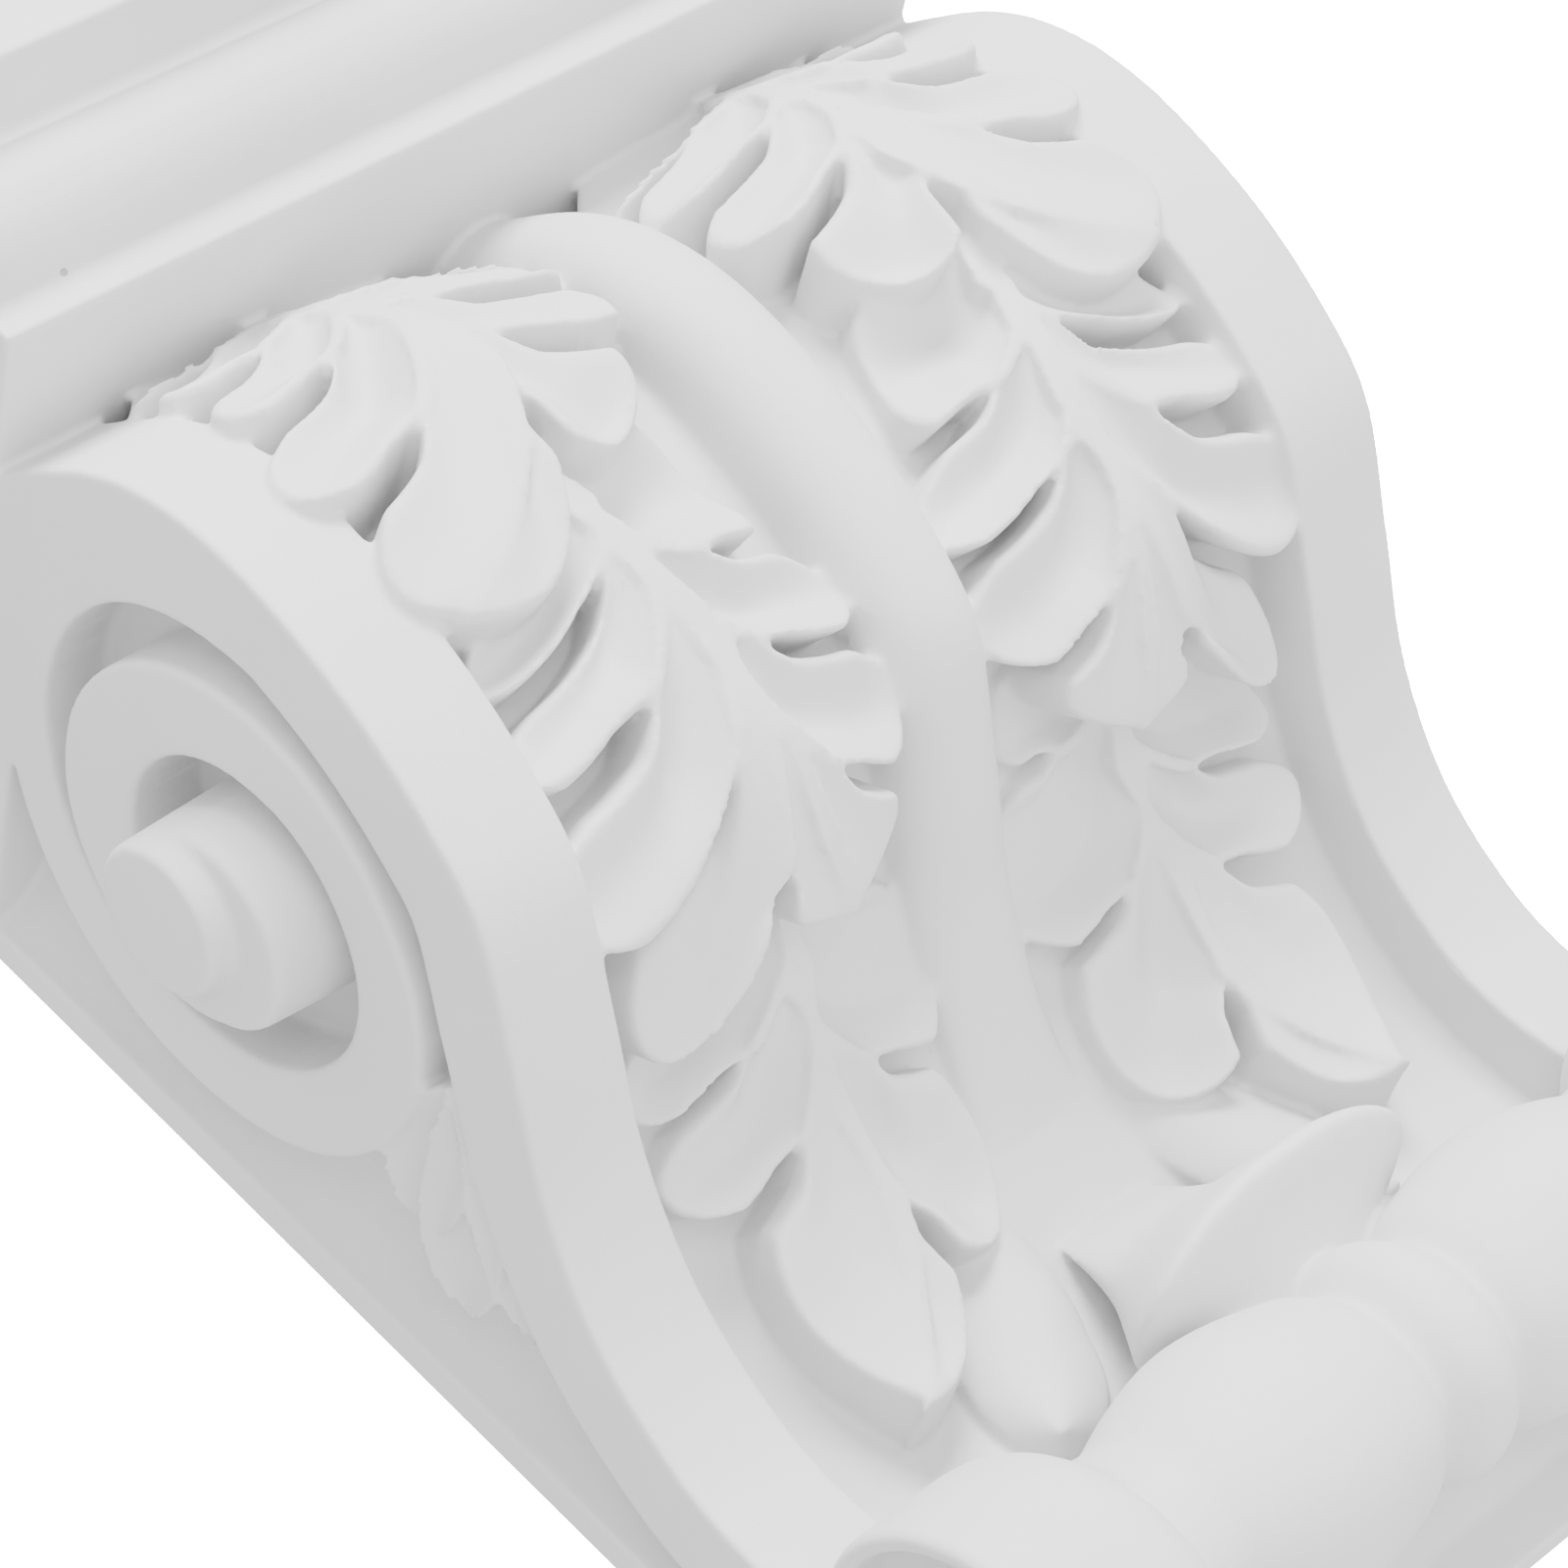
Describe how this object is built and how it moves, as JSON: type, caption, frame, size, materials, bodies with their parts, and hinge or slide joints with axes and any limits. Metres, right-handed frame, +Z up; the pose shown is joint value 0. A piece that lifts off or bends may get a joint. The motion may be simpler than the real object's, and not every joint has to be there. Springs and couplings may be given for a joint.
{
  "type": "beam corbel",
  "caption": "Cast plaster corbel with scrolled side bands, acanthus leaves down its front, a lower roll and a moulded cap that carries a beam end.",
  "frame": {"origin": "middle of the flat back, where the corbel is fixed to the wall", "axes": "+Y into the wall, +Z up, +X to the right as seen from the front"},
  "size_m": [0.209, 0.1402, 0.2765],
  "materials": {
    "plaster": "matte"
  },
  "bodies": {
    "root": {"corbel": "plaster"}
  },
  "joints": []
}
